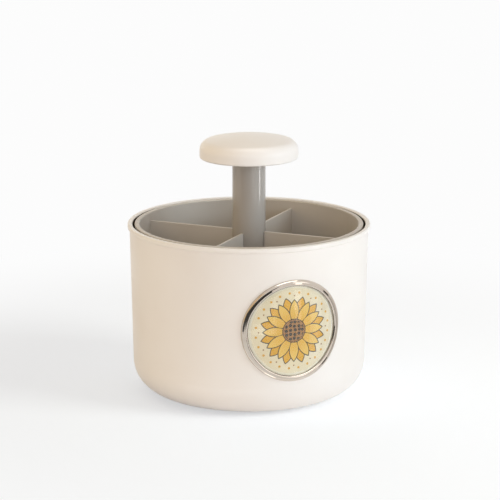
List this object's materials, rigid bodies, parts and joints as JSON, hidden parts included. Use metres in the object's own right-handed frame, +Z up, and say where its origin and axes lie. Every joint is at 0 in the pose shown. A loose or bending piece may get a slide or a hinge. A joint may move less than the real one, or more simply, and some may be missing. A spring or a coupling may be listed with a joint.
{
  "type": "rotating pen holder",
  "caption": "Rotating desk pen holder: a rounded cup with a round picture window, a divided tray that turns inside it, and a post with a mushroom knob.",
  "frame": {"origin": "on the desk, at the middle of the box around the part, under the axis that the tray turns on", "axes": "+Z up along the axis that the tray turns on, -Y towards the picture window, +X to the right as seen facing the window"},
  "size_m": [0.1604, 0.161, 0.172],
  "materials": {
    "cream_gloss": "glossy moulded cream plastic",
    "cream_satin": "satin moulded cream plastic",
    "greige_plastic": "satin moulded light warm grey plastic",
    "grey_gloss": "glossy warm grey plastic tube",
    "bezel_chrome": "polished warm chrome plate",
    "clear_lens": "clear polished acrylic",
    "printed_card": null,
    "foot_rubber": "matt black rubber",
    "white_acetal": "smooth white bearing plastic",
    "plain_steel": "plain steel"
  },
  "bodies": {
    "base": {"outer_shell": "cream_gloss", "rubber_feet": "foot_rubber", "window_bezel": "bezel_chrome", "window_lens": "clear_lens", "picture_card": "printed_card", "lower_race": "white_acetal", "lower_race_screws": "plain_steel", "spindle_screw": "plain_steel", "spindle_washer": "plain_steel"},
    "carousel": {"inner_tray": "greige_plastic", "upper_race": "white_acetal", "upper_race_screws": "plain_steel", "spindle_bush": "white_acetal", "post": "grey_gloss", "knob_underplate": "cream_satin", "knob_dome": "cream_satin", "knob_washer": "plain_steel", "knob_screw": "plain_steel"},
    "bearing": {"ball_cage": "white_acetal", "bearing_balls": "plain_steel"}
  },
  "joints": [
    {"name": "tray_spin", "type": "hinge", "parent": "base", "child": "carousel", "pos_m": [0, 0, 0], "axis": [0, 0, 1], "continuous": true},
    {"name": "cage_spin", "type": "hinge", "parent": "base", "child": "bearing", "pos_m": [0, 0, 0], "axis": [0, 0, 1], "continuous": true}
  ],
  "couplings": [
    {"joint": "cage_spin", "follows": "tray_spin", "ratio": 0.5}
  ]
}
